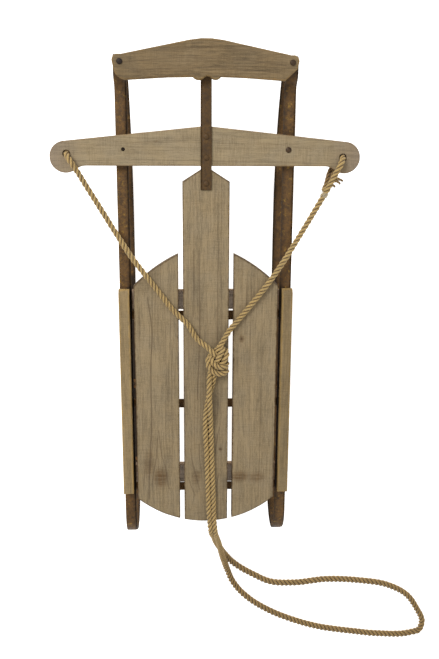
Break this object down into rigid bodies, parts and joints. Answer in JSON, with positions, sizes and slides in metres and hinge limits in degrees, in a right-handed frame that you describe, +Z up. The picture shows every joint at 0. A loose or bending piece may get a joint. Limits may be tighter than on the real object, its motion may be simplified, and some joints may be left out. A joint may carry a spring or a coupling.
{
  "type": "steerable runner sled",
  "caption": "Old wooden sled with a slatted deck on two flat steel runners, a steering bar at the front and a knotted pull rope.",
  "frame": {"origin": "on the ground, under the middle of the sled without its rope", "axes": "+Z up, +Y towards the front (the steering end), +X to the sled's right as seen from above"},
  "size_m": [0.7763, 1.2749, 0.1727],
  "materials": {
    "slat_wood": "weathered",
    "steering_wood": "weathered",
    "bumper_wood": "weathered",
    "batten_wood": "weathered",
    "rusty_steel": "rusted",
    "bolt_steel": "rusted",
    "rope_fibre": "matte",
    "twine_fibre": "matte"
  },
  "bodies": {
    "root": {"left_runner": "rusty_steel", "right_runner": "rusty_steel", "front_crossbar": "rusty_steel", "middle_crossbar": "rusty_steel", "rear_crossbar": "rusty_steel", "front_batten": "batten_wood", "rear_batten": "batten_wood", "left_slat": "slat_wood", "centre_slat": "slat_wood", "right_slat": "slat_wood", "left_rail": "slat_wood", "right_rail": "slat_wood", "bumper": "bumper_wood", "left_bumper_bolt": "bolt_steel", "left_bumper_nut": "bolt_steel", "right_bumper_bolt": "bolt_steel", "right_bumper_nut": "bolt_steel", "front_left_slat_screw": "bolt_steel", "front_centre_slat_screw": "bolt_steel", "front_right_slat_screw": "bolt_steel", "rear_left_slat_screw": "bolt_steel", "rear_centre_slat_screw": "bolt_steel", "rear_right_slat_screw": "bolt_steel", "front_left_rail_screw": "bolt_steel", "front_right_rail_screw": "bolt_steel", "middle_left_rail_screw": "bolt_steel", "middle_right_rail_screw": "bolt_steel", "rear_left_rail_screw": "bolt_steel", "rear_right_rail_screw": "bolt_steel", "front_left_foot_rivet": "bolt_steel", "front_right_foot_rivet": "bolt_steel", "middle_left_foot_rivet": "bolt_steel", "middle_right_foot_rivet": "bolt_steel", "rear_left_foot_rivet": "bolt_steel", "rear_right_foot_rivet": "bolt_steel", "rope_left_leg": "rope_fibre", "rope_right_leg": "rope_fibre", "rope_knot": "rope_fibre", "rope_loop": "rope_fibre"},
    "steering": {"steering_bar": "steering_wood", "steering_strap": "rusty_steel", "left_runner_bolt": "bolt_steel", "left_runner_nut": "bolt_steel", "right_runner_bolt": "bolt_steel", "right_runner_nut": "bolt_steel", "front_strap_bolt": "bolt_steel", "front_strap_nut": "bolt_steel", "rear_strap_bolt": "bolt_steel", "rear_strap_nut": "bolt_steel", "pivot_bolt": "bolt_steel", "pivot_nut": "bolt_steel", "pivot_washer": "bolt_steel", "rope_left_stopper": "rope_fibre", "rope_right_tail": "rope_fibre", "rope_seizing": "twine_fibre"}
  },
  "joints": [
    {"name": "steering_pivot", "type": "hinge", "parent": "root", "child": "steering", "pos_m": [0, 0.2358, 0.139], "axis": [0, 0, 1], "range_deg": [-3, 3], "stiffness_Nm_per_rad": 40, "deforming": ["rope_left_leg", "rope_right_leg"]}
  ]
}
